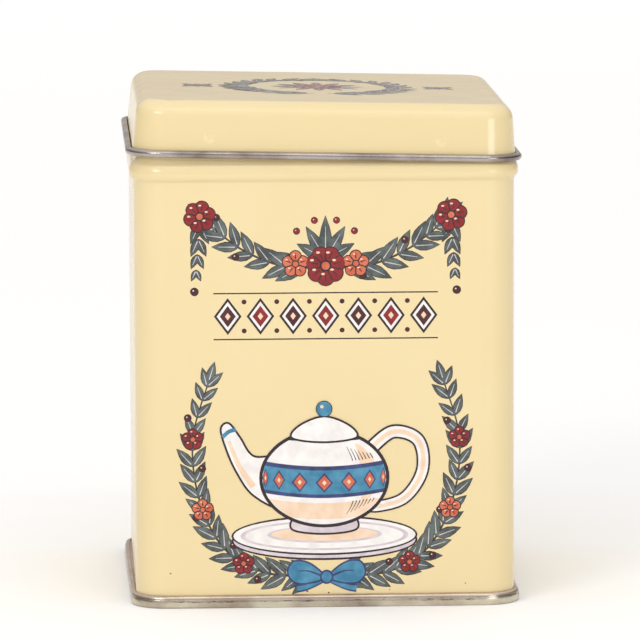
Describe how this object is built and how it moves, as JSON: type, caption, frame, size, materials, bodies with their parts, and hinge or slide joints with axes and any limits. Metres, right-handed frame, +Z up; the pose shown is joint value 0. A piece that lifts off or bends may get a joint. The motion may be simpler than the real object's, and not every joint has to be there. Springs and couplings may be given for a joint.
{
  "type": "tea tin",
  "caption": "Upright square tin with rounded corners, a shallow slip lid with a rolled bare-metal rim, a raised bead below it and a bare metal seam round the foot",
  "frame": {"origin": "middle of the foot, on the plane that the tin stands on", "axes": "+Z up, the height of the shut tin; -Y is the printed front; +X is to the right as the front is seen"},
  "size_m": [0.079, 0.079, 0.1018],
  "materials": {
    "cream_lacquer": "gloss",
    "tinplate": "satin"
  },
  "bodies": {
    "root": {"lid": "cream_lacquer", "body": "cream_lacquer", "base": "tinplate"}
  },
  "joints": []
}
